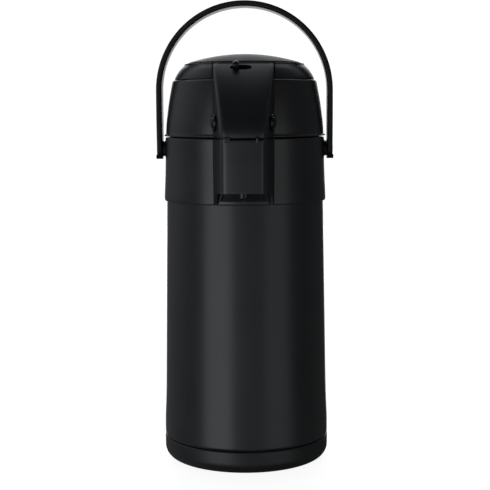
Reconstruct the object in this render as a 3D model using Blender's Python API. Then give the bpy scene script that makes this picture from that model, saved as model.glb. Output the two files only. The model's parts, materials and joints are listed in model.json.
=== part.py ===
"""Thermal coffee airpot: a hinged lid with a push pad, a spout hood, a bail handle and an insulated flask.

Every number in this file is in millimetres unless its name says otherwise. Meshes are built in metres.
The frame's origin is the centre of the underside, +Z is up and the spout points along -Y.
"""
import math

import bmesh
import bpy
from mathutils import Matrix, Vector

MM = 0.001
ROUND_OUT = 36          # facets of the visible turned pieces
ROUND_IN = 24           # facets of the hidden turned pieces
ROUND_FINE = 14         # facets of pins, screws and tubes

# Base and body
BASE_R = 79.8
BASE_FLAT_R = 67.8
BASE_ROUND = 12.0
BASE_TOP_Z = 22.9
BODY_LOW_R = 79.7
BODY_TOP_R = 75.42
BODY_Z0 = 23.5
BODY_Z1 = 262.0
BODY_WALL = 1.2
LINER_R = 67.0
LINER_WALL = 1.2
LINER_Z0 = 30.0
NECK_R = 41.2
NECK_Z = 290.0
DECK_Z = 294.7

# Collar and spout
COLLAR_Z0 = 253.0
COLLAR_Z1 = 313.7
COLLAR_R = 76.5
COLLAR_BORE = 73.9
SPOUT_Y = -92.0
TUBE_Y = -14.0
AIR_PORT_Y = 14.0
PLUG_TOP_Z = 300.5
NOZZLE_Z = 260.3
PIPE_R = 5.5
PIPE_Z = 307.3
PIPE_BEND = 8.0

# Hood, which runs down the front of the lid and the collar
HOOD_ROOT = 29.0
HOOD_WALL = 2.5
HOOD_EDGE = 4.0
HOOD_TOP = (-55.6, 383.5)
HOOD_BEND_A = (-73.5, 372.6)
HOOD_BEND_B = (-107.0, 336.0)
HOOD_SEAM = (-107.0, 314.9)
HOOD_FOOT_Y = -108.0
HOOD_FOOT_Z = 265.9
HOOD_KNEE = (-80.5, 264.2)
HOOD_HEEL = (-77.0, 253.2)

# Lid and pump
LID_Z0 = 314.9
LID_LEDGE_Z = 368.0
PAD_BORE = 54.9
PAD_R = 54.0
PAD_TOP_Z = 392.9
PAD_SPHERE = 178.0
PAD_SKIRT_Z = 352.0
PUMP_Z = 319.0
HINGE_Y = 82.0
HINGE_Z = 314.3
HINGE_R = 4.2
PIN_R = 1.6

# Lock slider, release buttons and locating lugs
SLOT_X = -2.2
SLOT_HALF = 10.0
SLOT_WIDE = 3.8
KNOB_X = -6.8
LOCK_Y = -62.3
LOCK_Z = 379.5
BUTTON_Y = -81.0
BUTTON_Z = 328.5
BUTTON_R = 5.9
BUTTON_FACE_Y = -102.3
LUGS = ((-17.8, -11.7), (11.6, 13.8))

# Bail handle
BAIL_PIVOT_Z = 302.7
BAIL_CENTRE_Z = 358.3
BAIL_OUT = 84.5
BAIL_THICK = 5.4
BAIL_HALF = 10.0
BAIL_ARM_HALF = 12.5
BAIL_GRIP_HALF = 16.0
BAIL_SHOE = 1.0


def clear_scene():
    for obj in list(bpy.data.objects):
        bpy.data.objects.remove(obj, do_unlink=True)


def material(name, colour, roughness, metallic=0.0):
    mat = bpy.data.materials.new(name)
    mat.use_nodes = True
    shader = mat.node_tree.nodes["Principled BSDF"]
    shader.inputs["Base Color"].default_value = (*colour, 1.0)
    shader.inputs["Roughness"].default_value = roughness
    shader.inputs["Metallic"].default_value = metallic
    mat.diffuse_color = (*colour, 1.0)
    return mat


def joint_empty(name, place):
    empty = bpy.data.objects.new(name, None)
    empty.location = Vector(place) * MM
    bpy.context.scene.collection.objects.link(empty)
    return empty


def mesh_object(name, points, faces, paint=None, frame=None, home=None):
    """Points are millimetres in the frame matrix's space. The object's origin is moved to its home empty."""
    mesh = bpy.data.meshes.new(name)
    mesh.from_pydata([Vector(p) * MM for p in points], [], faces)
    if frame is not None:
        mesh.transform(frame)
    shape = bmesh.new()
    shape.from_mesh(mesh)
    bmesh.ops.recalc_face_normals(shape, faces=shape.faces)
    shape.to_mesh(mesh)
    shape.free()
    obj = bpy.data.objects.new(name, mesh)
    bpy.context.scene.collection.objects.link(obj)
    if paint is None:
        obj.hide_render = True
        obj.display_type = "WIRE"
    else:
        mesh.materials.append(paint)
    if home is not None:
        mesh.transform(Matrix.Translation(-home.location))
        obj.parent = home
    return obj


def smooth(obj, angle=35.0):
    obj.data.shade_smooth()
    obj.data.set_sharp_from_angle(angle=math.radians(angle))
    return obj


def turned(name, outline, paint=None, facets=ROUND_IN, frame=None, home=None):
    """Revolve a closed outline of (radius, height) points about Z. Points on the axis become poles."""
    points = []
    rings = []
    for radius, height in outline:
        if radius < 1e-6:
            rings.append([len(points)] * facets)
            points.append((0.0, 0.0, height))
            continue
        rings.append(list(range(len(points), len(points) + facets)))
        for i in range(facets):
            turn = 2.0 * math.pi * i / facets
            points.append((radius * math.cos(turn), radius * math.sin(turn), height))
    faces = []
    for a, b in zip(rings, rings[1:] + rings[:1]):
        for i in range(facets):
            j = (i + 1) % facets
            face = []
            for corner in (a[i], a[j], b[j], b[i]):
                if corner not in face:
                    face.append(corner)
            if len(face) > 2:
                faces.append(face)
    return smooth(mesh_object(name, points, faces, paint, frame, home))


def lofted(name, sections, paint=None, frame=None, home=None, ring=False):
    """Join equal point rings into a closed skin: capped at both ends, or closed on itself as a ring."""
    count = len(sections[0])
    points = [p for section in sections for p in section]
    faces = []
    pairs = len(sections) if ring else len(sections) - 1
    for k in range(pairs):
        low = k * count
        high = ((k + 1) % len(sections)) * count
        for i in range(count):
            j = (i + 1) % count
            faces.append((low + i, low + j, high + j, high + i))
    if not ring:
        faces.append(tuple(range(count)))
        faces.append(tuple(range(len(points) - count, len(points))))
    return smooth(mesh_object(name, points, faces, paint, frame, home))


def box(name, low, high, paint=None, frame=None, home=None):
    sections = []
    for z in (low[2], high[2]):
        near = [(low[0], low[1], z), (high[0], low[1], z)]
        sections.append(near + [(high[0], high[1], z), (low[0], high[1], z)])
    return lofted(name, sections, paint, frame, home)


def rod(name, radius, start, end, facets=ROUND_FINE, frame=None):
    """A plain cutter cylinder from one point to another."""
    start = Vector(start)
    end = Vector(end)
    side = (end - start).orthogonal().normalized()
    other = (end - start).normalized().cross(side)
    sections = []
    for centre in (start, end):
        ring = []
        for i in range(facets):
            turn = 2.0 * math.pi * i / facets
            ring.append(centre + side * (radius * math.cos(turn)) + other * (radius * math.sin(turn)))
        sections.append(ring)
    return lofted(name, sections, None, frame)


def joined(name, cutters):
    """Put several separate cutters into one guide object."""
    shape = bmesh.new()
    for cutter in cutters:
        shape.from_mesh(cutter.data)
    mesh = bpy.data.meshes.new(name)
    shape.to_mesh(mesh)
    shape.free()
    for cutter in cutters:
        bpy.data.objects.remove(cutter, do_unlink=True)
    obj = bpy.data.objects.new(name, mesh)
    bpy.context.scene.collection.objects.link(obj)
    obj.hide_render = True
    obj.display_type = "WIRE"
    return obj


def boolean(target, tool, operation, solver="EXACT"):
    step = target.modifiers.new(operation.lower() + "_" + tool.name, "BOOLEAN")
    step.operation = operation
    step.object = tool
    step.solver = solver
    return target


def cut(target, *tools):
    for tool in tools:
        boolean(target, tool, "DIFFERENCE")
    return target


def fuse(target, *tools):
    for tool in tools:
        boolean(target, tool, "UNION")
    return target


def about_x(side, place=(0.0, 0.0, 0.0)):
    """A frame whose local Z runs along +X or -X, for pieces turned on a sideways axis."""
    turn = Matrix.Rotation(math.radians(90.0 * side), 4, "Y")
    return Matrix.Translation(Vector(place) * MM) @ turn


def bezier(t, a, b, c, d):
    s = 1.0 - t
    weights = (s ** 3, 3 * s * s * t, 3 * s * t * t, t ** 3)
    return tuple(sum(w * p[i] for w, p in zip(weights, (a, b, c, d))) for i in range(2))


def nose(t, inset=0.0):
    """A point (y, z) of the hood's front line on the lid, from the rim (t=0) to the seam (t=1)."""
    ends = (HOOD_TOP, HOOD_BEND_A, HOOD_BEND_B, HOOD_SEAM)
    y, z = bezier(t, *ends)
    y0, z0 = bezier(max(t - 0.01, 0.0), *ends)
    y1, z1 = bezier(min(t + 0.01, 1.0), *ends)
    run = math.hypot(y1 - y0, z1 - z0)
    return y - inset * (z1 - z0) / run, z + inset * (y1 - y0) / run


def hood_half(z):
    """Half the width of the hood's front face at height z."""
    table = ((265.0, 19.3), (312.0, 19.5), (329.0, 20.7), (348.0, 23.1), (367.0, 25.8), (383.5, 28.5))
    for (z0, w0), (z1, w1) in zip(table, table[1:]):
        if z <= z1:
            return w0 + (w1 - w0) * max(z - z0, 0.0) / (z1 - z0)
    return table[-1][1]


def hood_section(y_front, z, y_root, inset=0.0, y_back=-42.0):
    """One horizontal section of the hood: straight sides that draw in towards a flat face."""
    half = hood_half(z) - inset
    root = HOOD_ROOT - inset
    edge = max(HOOD_EDGE - inset, 0.4)
    y_front = y_front + inset
    lean = (root - half) / (y_root - y_front)
    corner = [(half + edge * lean, y_front + edge), (half - 0.3 * edge, y_front + 0.3 * edge)]
    corner.append((half - edge, y_front))
    right = [(root, y_back), (root, y_root)] + corner
    left = [(-x, y) for x, y in reversed(right)]
    return [(x, y, z) for x, y in right + left]


def lid_radius(z):
    """The outer radius of the lid's skirt and shoulder at height z."""
    table = ((314.9, 76.0), (325.5, 75.5), (337.0, 74.2), (352.0, 72.0), (365.0, 69.4), (371.0, 66.2))
    table += ((383.6, 55.3),)
    for (z0, r0), (z1, r1) in zip(table, table[1:]):
        if z <= z1:
            return r0 + (r1 - r0) * max(z - z0, 0.0) / (z1 - z0)
    return table[-1][1]


def hood_root_y(radius):
    return -math.sqrt(radius ** 2 - HOOD_ROOT ** 2) + 1.5


def screw(name, place, head_r, head_h, shank_r, length, paint, up=True, home=None):
    """A pan-head screw. Its head's seat is at place, with the shank running up or down from there."""
    way = 1.0 if up else -1.0
    outline = [(0.0, -head_h * way), (head_r * 0.75, -head_h * way), (head_r, -head_h * 0.45 * way)]
    outline += [(head_r, 0.0), (shank_r, 0.0), (shank_r, (length - 1.0) * way), (0.0, length * way)]
    frame = Matrix.Translation(Vector(place) * MM)
    return turned(name, outline, paint, 10, frame, home)


def polar(radius, degrees, z=0.0):
    turn = math.radians(degrees)
    return radius * math.cos(turn), radius * math.sin(turn), z


def build_base(paints):
    ring = [(66.0, 0.6)]
    for step in range(4):
        turn = math.radians(30.0 * step)
        ring.append((BASE_FLAT_R + BASE_ROUND * math.sin(turn), 12.6 - BASE_ROUND * math.cos(turn)))
    ring += [(BASE_R, 20.0), (BASE_R - 0.5, 22.3), (BASE_R - 1.1, BASE_TOP_Z), (76.2, BASE_TOP_Z)]
    ring += [(76.2, 9.0), (72.5, 3.6), (66.0, 3.6)]
    turned("base_ring", ring, paints["base"], ROUND_OUT)
    pad = [(0.0, 0.0), (57.5, 0.0), (59.0, 1.2), (59.0, 3.6), (0.0, 3.6)]
    turned("foot_pad", pad, paints["rubber"])
    plate = turned("base_plate", [(0.0, 3.95), (72.0, 3.95), (72.0, 6.4), (0.0, 6.4)], paints["inner"])
    posts = []
    holes = []
    for k in range(3):
        x, y, _ = polar(62.6, 90.0 + 120.0 * k)
        posts.append(rod("post", 5.0, (x, y, 5.0), (x, y, 24.6), 12))
        holes.append(rod("hole", 2.4, (x, y, 0.0), (x, y, 22.0), 10))
        screw(f"base_screw_{k + 1}", (x, y, 3.6), 2.9, 2.2, 1.9, 17.0, paints["steel"])
    fuse(plate, joined("base_posts", posts))
    cut(plate, joined("base_post_holes", holes))


def build_flask(paints):
    outer = [(BODY_LOW_R - 0.7, BODY_Z0), (BODY_LOW_R, 25.5), (BODY_LOW_R, 40.0), (78.9, 57.0), (78.14, 89.0)]
    outer += [(75.66, 246.5), (BODY_TOP_R, BODY_Z1)]
    inner = [(BODY_TOP_R - BODY_WALL, BODY_Z1), (76.94, 89.0), (77.7, 57.0), (78.4, 40.0)]
    inner += [(78.4, 24.7), (76.8, 24.7), (76.8, BODY_Z0)]
    turned("body_shell", outer + inner, paints["body"], ROUND_OUT)
    floor = [(0.0, 25.1), (77.9, 25.1), (77.9, 26.3), (30.0, 26.3), (24.0, 27.4), (0.0, 27.4)]
    turned("shell_bottom", floor, paints["steel"])
    turned("liner_spacer", [(30.8, 26.7), (40.0, 26.7), (40.0, 29.6), (30.8, 29.6)], paints["rubber"])
    r = LINER_R
    dish = [(0.0, LINER_Z0), (r - 13.0, LINER_Z0), (r - 4.0, 33.5), (r, 41.6), (r - LINER_WALL, 41.6)]
    dish += [(r - 4.8, 34.5), (r - 13.3, LINER_Z0 + LINER_WALL), (0.0, LINER_Z0 + LINER_WALL)]
    turned("liner_dish", dish, paints["steel"])
    wall = [(r, 42.0), (r, 243.7), (r - LINER_WALL, 243.7), (r - LINER_WALL, 42.0)]
    turned("liner_wall", wall, paints["steel"])
    shoulder = [(r, 244.1), (r - 2.5, 252.0), (56.0, 259.5), (45.0, 264.5), (45.0 - LINER_WALL, 263.2)]
    shoulder += [(55.3, 258.4), (r - 3.6, 251.3), (r - LINER_WALL, 244.1)]
    turned("liner_shoulder", shoulder, paints["steel"])
    neck = [(44.6, 265.0), (NECK_R, 269.0), (NECK_R, NECK_Z), (NECK_R - LINER_WALL, NECK_Z)]
    neck += [(NECK_R - LINER_WALL, 268.6), (43.9, 263.9)]
    turned("liner_neck", neck, paints["steel"])


def build_mouth(paints):
    ring = [(38.5, 290.4), (38.5, DECK_Z), (73.4, DECK_Z), (73.4, 291.7), (44.4, 291.7), (44.4, 274.0)]
    ring += [(41.75, 274.0), (41.75, 290.4)]
    deck = turned("mouth_ring", ring, paints["plastic"], ROUND_OUT)
    holes = []
    for k in range(4):
        x, y, _ = polar(67.0, 45.0 + 90.0 * k)
        holes.append(rod("hole", 1.75, (x, y, 285.0), (x, y, 299.0), 10))
        screw(f"deck_screw_{k + 1}", (x, y, DECK_Z + 0.3), 2.8, 1.9, 1.3, 14.0, paints["steel"], up=False)
    cut(deck, joined("deck_holes", holes))
    turned("plug_gasket", [(39.0, 295.05), (43.0, 295.05), (43.0, 297.4), (39.0, 297.4)], paints["rubber"])
    plug = [(0.0, 285.0), (36.2, 285.0), (37.5, 286.5), (37.5, 297.8), (43.2, 297.8), (43.2, 300.0)]
    plug += [(42.4, PLUG_TOP_Z), (0.0, PLUG_TOP_Z)]
    plug = turned("stem_plug", plug, paints["inner"])
    bore = rod("tube_bore", 4.95, (0.0, TUBE_Y, 280.0), (0.0, TUBE_Y, 294.0))
    socket = rod("pipe_socket", 6.5, (0.0, TUBE_Y, 292.3), (0.0, TUBE_Y, 303.0))
    air = rod("air_port", 3.4, (0.0, AIR_PORT_Y, 280.0), (0.0, AIR_PORT_Y, 303.0))
    cut(plug, bore, socket, air)


def build_spout(paints):
    shift = Matrix.Translation(Vector((0.0, TUBE_Y, 0.0)) * MM)
    tube = [(3.3, 44.0), (4.5, 44.0), (4.5, 291.6), (3.3, 291.6)]
    turned("dip_tube", tube, paints["clear"], ROUND_FINE, shift)
    strainer = [(2.2, 34.0), (4.6, 34.0), (6.6, 36.0), (6.6, 48.0), (4.95, 49.5), (4.95, 43.6), (2.2, 41.0)]
    turned("tube_strainer", strainer, paints["inner"], ROUND_FINE, shift)
    rise = PIPE_Z - PIPE_BEND
    path = [(TUBE_Y, 293.0), (TUBE_Y, rise)]
    for step in range(1, 5):
        turn = math.radians(22.5 * step)
        path.append((TUBE_Y - PIPE_BEND * (1.0 - math.cos(turn)), rise + PIPE_BEND * math.sin(turn)))
    bend = 14.0
    for step in range(5):
        turn = math.radians(22.5 * step)
        path.append((SPOUT_Y + bend - bend * math.sin(turn), PIPE_Z - bend + bend * math.cos(turn)))
    path.append((SPOUT_Y, 273.0))
    skins = []
    for radius, order in ((PIPE_R, path), (PIPE_R - 1.4, path[::-1])):
        for k, (y, z) in enumerate(order):
            y0, z0 = order[max(k - 1, 0)]
            y1, z1 = order[min(k + 1, len(order) - 1)]
            run = math.hypot(y1 - y0, z1 - z0)
            flip = 1.0 if radius == PIPE_R else -1.0
            side = Vector((0.0, -(z1 - z0) / run, (y1 - y0) / run)) * flip
            ring = []
            for i in range(12):
                turn = 2.0 * math.pi * i / 12
                ring.append(Vector((0.0, y, z)) + Vector((1.0, 0.0, 0.0)) * radius * math.cos(turn)
                            + side * radius * math.sin(turn))
            skins.append(ring)
    lofted("spout_pipe", skins, paints["inner"], ring=True)
    tip = [(3.2, NOZZLE_Z), (4.4, NOZZLE_Z), (5.0, NOZZLE_Z + 0.9), (5.2, 264.0), (7.4, 270.5), (7.4, 281.0)]
    tip += [(6.1, 281.0), (6.1, 272.4), (3.2, 270.0)]
    turned("nozzle_tip", tip, paints["gloss"], 18, Matrix.Translation(Vector((0.0, SPOUT_Y, 0.0)) * MM))


def hood_block(name, levels, inset, y_back):
    return lofted(name, [hood_section(y, z, root, inset, y_back) for y, z, root in levels])


def build_collar(paints):
    root = hood_root_y(77.5)
    foot = HOOD_FOOT_Y
    top_root = hood_root_y(COLLAR_R)
    levels = [(foot, 253.4, root), (foot, 290.0, root), (HOOD_SEAM[0], COLLAR_Z1 - 0.12, top_root)]
    hood = hood_block("collar_hood_block", levels, 0.0, -60.0)
    deep = [(foot, 245.0, root), (foot, 290.0, root), (HOOD_SEAM[0], 320.0, top_root)]
    hollow = hood_block("collar_hood_hollow", deep, HOOD_WALL, -55.0)
    middle = [(0.0, 248.0), (77.0, 248.0), (77.0, 263.0), (75.2, 264.0), (75.2, 318.0), (0.0, 318.0)]
    middle = turned("collar_wall_middle", middle, None, ROUND_OUT)
    tip = HOOD_FOOT_Y - 12.0
    side = [HOOD_HEEL, HOOD_KNEE, (HOOD_FOOT_Y, HOOD_FOOT_Z), (tip, HOOD_FOOT_Z + 0.7), (tip, 235.0)]
    side.append((HOOD_HEEL[0], 235.0))
    heel = lofted("hood_bottom_slope", [[(x, py, pz) for py, pz in side] for x in (-45.0, 45.0)])
    cut(hood, hollow, middle, heel)
    outline = [(76.5, COLLAR_Z0), (77.5, COLLAR_Z0 + 0.5), (77.95, COLLAR_Z0 + 2.2), (77.3, 272.0)]
    outline += [(76.8, 288.0), (COLLAR_R, 305.0), (COLLAR_R, COLLAR_Z1), (COLLAR_BORE, COLLAR_Z1)]
    outline += [(COLLAR_BORE, 263.2), (76.1, 262.6), (76.1, COLLAR_Z0 + 0.6)]
    collar = turned("collar", outline, paints["plastic"], ROUND_OUT)
    ribs = []
    for k in range(4):
        frame = Matrix.Rotation(math.radians(45.0 + 90.0 * k), 4, "Z")
        ribs.append(box("rib", (63.0, -4.2, 265.0), (75.2, 4.2, 291.3), None, frame))
    for low, high in ((-20.0, -9.0), (9.0, 20.0)):
        ribs.append(box("web", (low, 74.6, 306.0), (high, HINGE_Y, COLLAR_Z1 - 0.3)))
    knuckles = [rod("knuckle", HINGE_R, (low, HINGE_Y, HINGE_Z), (low + 11.0, HINGE_Y, HINGE_Z), 16)
                for low in (-20.0, 9.0)]
    lugs = [box("lug", (low, -107.3, 311.0), (high, -105.0, 315.7)) for low, high in LUGS]
    boolean(collar, hood, "UNION", "MANIFOLD")
    fuse(collar, joined("collar_ribs", ribs), joined("collar_knuckles", knuckles), joined("seam_lugs", lugs))
    holes = []
    for k in range(4):
        x, y, _ = polar(67.0, 45.0 + 90.0 * k)
        holes.append(rod("hole", 1.75, (x, y, 278.0), (x, y, 299.0), 10))
    holes.append(rod("bushing_bore", 5.4, (-90.0, 0.0, BAIL_PIVOT_Z), (-60.0, 0.0, BAIL_PIVOT_Z), 20))
    holes.append(rod("bushing_bore", 5.4, (60.0, 0.0, BAIL_PIVOT_Z), (90.0, 0.0, BAIL_PIVOT_Z), 20))
    holes.append(rod("hinge_bore", PIN_R + 0.4, (-30.0, HINGE_Y, HINGE_Z), (30.0, HINGE_Y, HINGE_Z)))
    holes.append(box("pipe_notch", (-6.4, -80.0, 299.6), (6.4, -66.0, 320.0)))
    cut(collar, joined("collar_holes", holes))
    pin = [(0.0, -19.2), (PIN_R, -18.8), (PIN_R, 18.8), (0.0, 19.2)]
    turned("hinge_pin", pin, paints["steel"], ROUND_FINE, about_x(1, (0.0, HINGE_Y, HINGE_Z)))


def build_lid(paints, home):
    steps = (0.0, 0.1, 0.22, 0.36, 0.52, 0.7, 0.86, 1.0)
    outer = []
    inner = []
    for t in steps:
        y, z = nose(t)
        outer.append((y, z, hood_root_y(lid_radius(z))))
        y, z = nose(t, HOOD_WALL)
        inner.append((y - HOOD_WALL, z, hood_root_y(lid_radius(z))))
    inner.append((HOOD_SEAM[0], 305.0, inner[-1][2]))
    hood = hood_block("lid_hood_block", outer, 0.0, -42.0)
    hollow = hood_block("lid_hood_hollow", inner, HOOD_WALL, -36.0)
    middle = [(0.0, 305.0), (74.4, 305.0), (74.2, 325.0), (70.8, 352.0), (68.2, 365.0), (66.0, 366.7)]
    middle += [(PAD_BORE, 366.7), (PAD_BORE, 400.0), (0.0, 400.0)]
    middle = turned("lid_wall_middle", middle, None, ROUND_OUT)
    cut(hood, hollow, middle)
    outline = [(76.8, LID_Z0), (77.45, LID_Z0 + 0.8), (77.2, LID_Z0 + 1.7), (75.95, LID_Z0 + 2.1)]
    outline += [(75.5, 325.5), (74.2, 337.0), (72.0, 352.0), (69.5, 365.0), (68.9, 367.0)]
    outline += [(67.6, LID_LEDGE_Z), (56.0, LID_LEDGE_Z), (56.0, 350.0), (58.4, 350.0), (58.4, 365.5), (66.8, 365.5)]
    outline += [(69.6, 352.0), (71.8, 337.0), (73.1, 325.5), (73.1, LID_Z0)]
    lid = turned("lid_shell", outline, paints["plastic"], ROUND_OUT, None, home)
    posts = []
    for k in range(4):
        frame = Matrix.Rotation(math.radians(45.0 + 90.0 * k), 4, "Z")
        posts.append(box("post", (60.2, -4.0, 322.0), (71.8, 4.0, 346.0), None, frame))
    posts.append(box("web", (-8.4, 74.6, LID_Z0 + 0.1), (8.4, HINGE_Y, HINGE_Z + HINGE_R - 0.2)))
    knuckle = rod("lid_knuckle", HINGE_R, (-8.4, HINGE_Y, HINGE_Z), (8.4, HINGE_Y, HINGE_Z), 16)
    fuse(lid, hood, joined("lid_posts", posts), knuckle)
    holes = []
    for k in range(4):
        x, y, _ = polar(64.5, 45.0 + 90.0 * k)
        holes.append(rod("hole", 1.75, (x, y, 312.0), (x, y, 338.0), 10))
    holes.append(rod("hinge_bore", PIN_R + 0.4, (-30.0, HINGE_Y, HINGE_Z), (30.0, HINGE_Y, HINGE_Z)))
    for low, high in LUGS:
        holes.append(box("notch", (low - 0.45, -115.0, 310.0), (high + 0.45, -104.2, 316.2)))
    for side in (-1, 1):
        holes.append(rod("button_bore", 7.3, (-9.0, 0.0, 0.0), (12.0, 0.0, 0.0), 20, button_frame(side)))
    cut(lid, joined("lid_holes", holes), lock_slot_cutter())
    ring = [(67.0, 368.4), (66.2, 371.0), (64.3, 374.3), (61.6, 378.2), (58.8, 381.0), (56.4, 383.1)]
    ring += [(55.4, 383.7), (PAD_BORE, 383.2), (PAD_BORE, 380.6), (57.8, 379.0), (61.8, 374.2), (64.2, 370.6)]
    ring += [(64.4, 368.4)]
    ring = turned("shoulder_ring", ring, paints["plastic"], ROUND_OUT, None, home)
    half = HOOD_ROOT + 0.4
    cut(ring, box("hood_gap", (-half, -90.0, 360.0), (half, -30.0, 395.0)))


def slope_frame():
    """Frame on the hood's sloping top at the lock slot: local X along the slot, local Z out of the skin."""
    low = 0.0
    high = 1.0
    for _ in range(40):
        middle = (low + high) / 2.0
        if nose(middle)[0] > LOCK_Y:
            low = middle
        else:
            high = middle
    y, z = nose(low)
    y1, z1 = nose(low + 0.03)
    lean = math.atan2(z - z1, y - y1)
    return Matrix.Translation(Vector((SLOT_X, y, z)) * MM) @ Matrix.Rotation(lean, 4, "X")


def lock_slot_cutter():
    half = [(SLOT_HALF, 0.0), (SLOT_HALF - 2.0, 2.6), (SLOT_HALF - 5.0, SLOT_WIDE)]
    lens = half + [(-x, y) for x, y in reversed(half)]
    lens += [(x, -y) for x, y in reversed(lens[1:-1])]
    return lofted("lock_slot", [[(x, y, z) for x, y in lens] for z in (-9.0, 9.0)], None, slope_frame())


def build_lock(paints, lid_home, home):
    frame = slope_frame()
    at = KNOB_X - SLOT_X
    fin = []
    for z, wide, deep in ((0.5, 3.1, 4.0), (4.0, 3.0, 3.7), (5.6, 2.5, 2.9), (6.2, 1.6, 1.9)):
        fin.append([(at + sx * wide, sy * deep, z) for sx, sy in ((-1, -1), (1, -1), (1, 1), (-1, 1))])
    knob = lofted("lock_knob", fin, paints["gloss"], frame, home)
    stem = box("knob_stem", (at - 2.4, -2.3, -3.4), (at + 2.4, 2.3, 1.5), None, frame)
    plate = box("knob_plate", (at - 10.5, -4.4, -4.6), (at + 10.5, 4.4, -3.2), None, frame)
    fuse(knob, stem, plate)
    box("lock_bar", (at - 3.0, -0.6, -8.0), (at + 3.0, 2.4, -4.95), paints["inner"], frame, home)
    rail = [(-7.0, -3.3), (-5.2, -3.3), (-5.2, -5.0), (-1.2, -5.0), (-1.2, -6.3), (-7.0, -6.3)]
    lofted("lock_rail", [[(x - SLOT_X, y, z) for y, z in rail] for x in (-20.0, 20.0)], paints["inner"],
           frame, lid_home)


def button_frame(side):
    """Frame on a hood side wall at the release button: local X out of the wall."""
    y_root = hood_root_y(lid_radius(BUTTON_Z))
    half = hood_half(BUTTON_Z)
    lean = (HOOD_ROOT - half) / (y_root - BUTTON_FACE_Y)
    x = HOOD_ROOT - lean * (y_root - BUTTON_Y)
    turn = -math.atan(lean) if side > 0 else math.pi + math.atan(lean)
    place = Matrix.Translation(Vector((side * x, BUTTON_Y, BUTTON_Z)) * MM)
    return place @ Matrix.Rotation(turn, 4, "Z")


def build_buttons(paints, lid_home, homes):
    for side, name in ((-1, "left"), (1, "right")):
        frame = button_frame(side)
        spin = frame @ Matrix.Rotation(math.radians(90.0), 4, "Y")
        ring = [(6.3, -3.6), (6.9, -3.6), (6.9, 0.8), (8.1, 0.8), (8.1, 1.4), (7.5, 2.1)]
        ring += [(6.7, 2.1), (6.3, 1.6)]
        turned(f"button_bezel_{name}", ring, paints["plastic"], 20, spin, lid_home)
        cap = [(0.0, -5.3), (7.2, -5.3), (7.2, -4.1), (BUTTON_R, -4.1), (BUTTON_R, 1.6), (5.3, 2.7)]
        cap += [(3.3, 3.4), (0.0, 3.6)]
        turned(f"release_button_{name}", cap, paints["gloss"], 20, spin, homes[name])
        profile = [(-7.3, -23.0), (-4.7, -23.0), (-4.7, -21.0), (-5.7, -20.0), (-5.7, 6.0), (-7.3, 6.0)]
        lofted(f"latch_{name}", [[(x, y, z) for x, z in profile] for y in (-4.0, 4.0)], paints["inner"],
               frame, homes[name])


def build_pump(paints, lid_home, pad_home):
    plate = [(0.0, PUMP_Z), (70.5, PUMP_Z), (70.5, 321.6), (51.5, 321.6), (51.5, 327.0), (49.0, 327.0)]
    plate += [(49.0, 323.2), (0.0, 323.2)]
    plate = turned("pump_base", plate, paints["inner"], ROUND_IN, None, lid_home)
    fuse(plate, rod("air_spigot", 7.0, (0.0, AIR_PORT_Y, 304.2), (0.0, AIR_PORT_Y, 320.5)))
    holes = [rod("hole", 3.2, (0.0, AIR_PORT_Y, 300.0), (0.0, AIR_PORT_Y, 330.0))]
    for k in range(4):
        x, y, _ = polar(64.5, 45.0 + 90.0 * k)
        holes.append(rod("hole", 1.75, (x, y, 312.0), (x, y, 330.0), 10))
        place = (x, y, PUMP_Z - 0.35)
        screw(f"lid_screw_{k + 1}", place, 2.8, 1.9, 1.3, 14.0, paints["steel"], home=lid_home)
    cut(plate, joined("pump_base_holes", holes))
    shift = Matrix.Translation(Vector((0.0, AIR_PORT_Y, 0.0)) * MM)
    seal = [(3.6, 300.95), (8.6, 300.95), (8.0, 303.8), (3.6, 303.8)]
    turned("air_seal", seal, paints["rubber"], ROUND_FINE,
           shift, lid_home)
    dome = []
    under = []
    for radius in (0.0, 20.0, 37.0, 49.0, 52.6):
        z = PAD_TOP_Z - PAD_SPHERE + math.sqrt(PAD_SPHERE ** 2 - radius ** 2)
        dome.append((radius, z))
        under.append((radius, z - 2.5))
    skirt = [(PAD_R, 383.9), (PAD_R, PAD_SKIRT_Z), (PAD_R - 2.0, PAD_SKIRT_Z), (PAD_R - 2.0, 381.4)]
    turned("push_pad", dome + skirt + under[-2::-1], paints["pad"], ROUND_OUT, None, pad_home)
    disc = [(0.0, 378.6), (46.0, 378.6), (46.0, 377.0), (50.5, 377.0), (50.5, 380.6), (0.0, 380.6)]
    turned("pad_plate", disc, paints["inner"], ROUND_IN, None, pad_home)
    folds = 9
    low_z = 323.7
    high_z = 378.1
    out = []
    back = []
    for k in range(folds):
        z = low_z + (high_z - low_z) * k / (folds - 1)
        radius = 43.0 if k % 2 == 0 else 36.0
        out.append((radius, z))
        back.append((radius - 1.6, z))
    turned("bellows", out + back[::-1], paints["rubber"], 24, None, lid_home)
    build_spring(paints, lid_home)


def build_spring(paints, home):
    """The pad's return spring: five turns of round wire between the pump base and the pad plate."""
    turns = 5
    per_turn = 12
    wire = 1.1
    radius = 22.0
    low_z = 324.9
    high_z = 377.1
    rings = []
    count = turns * per_turn
    for k in range(count + 1):
        turn = 2.0 * math.pi * k / per_turn
        height = low_z + (high_z - low_z) * k / count
        centre = Vector((radius * math.cos(turn), radius * math.sin(turn), height))
        out = Vector((math.cos(turn), math.sin(turn), 0.0))
        ring = []
        for i in range(5):
            roll = 2.0 * math.pi * i / 5
            ring.append(centre + out * wire * math.cos(roll) + Vector((0.0, 0.0, wire * math.sin(roll))))
        rings.append(ring)
    lofted("return_spring", rings, paints["steel"], None, home)


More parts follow.
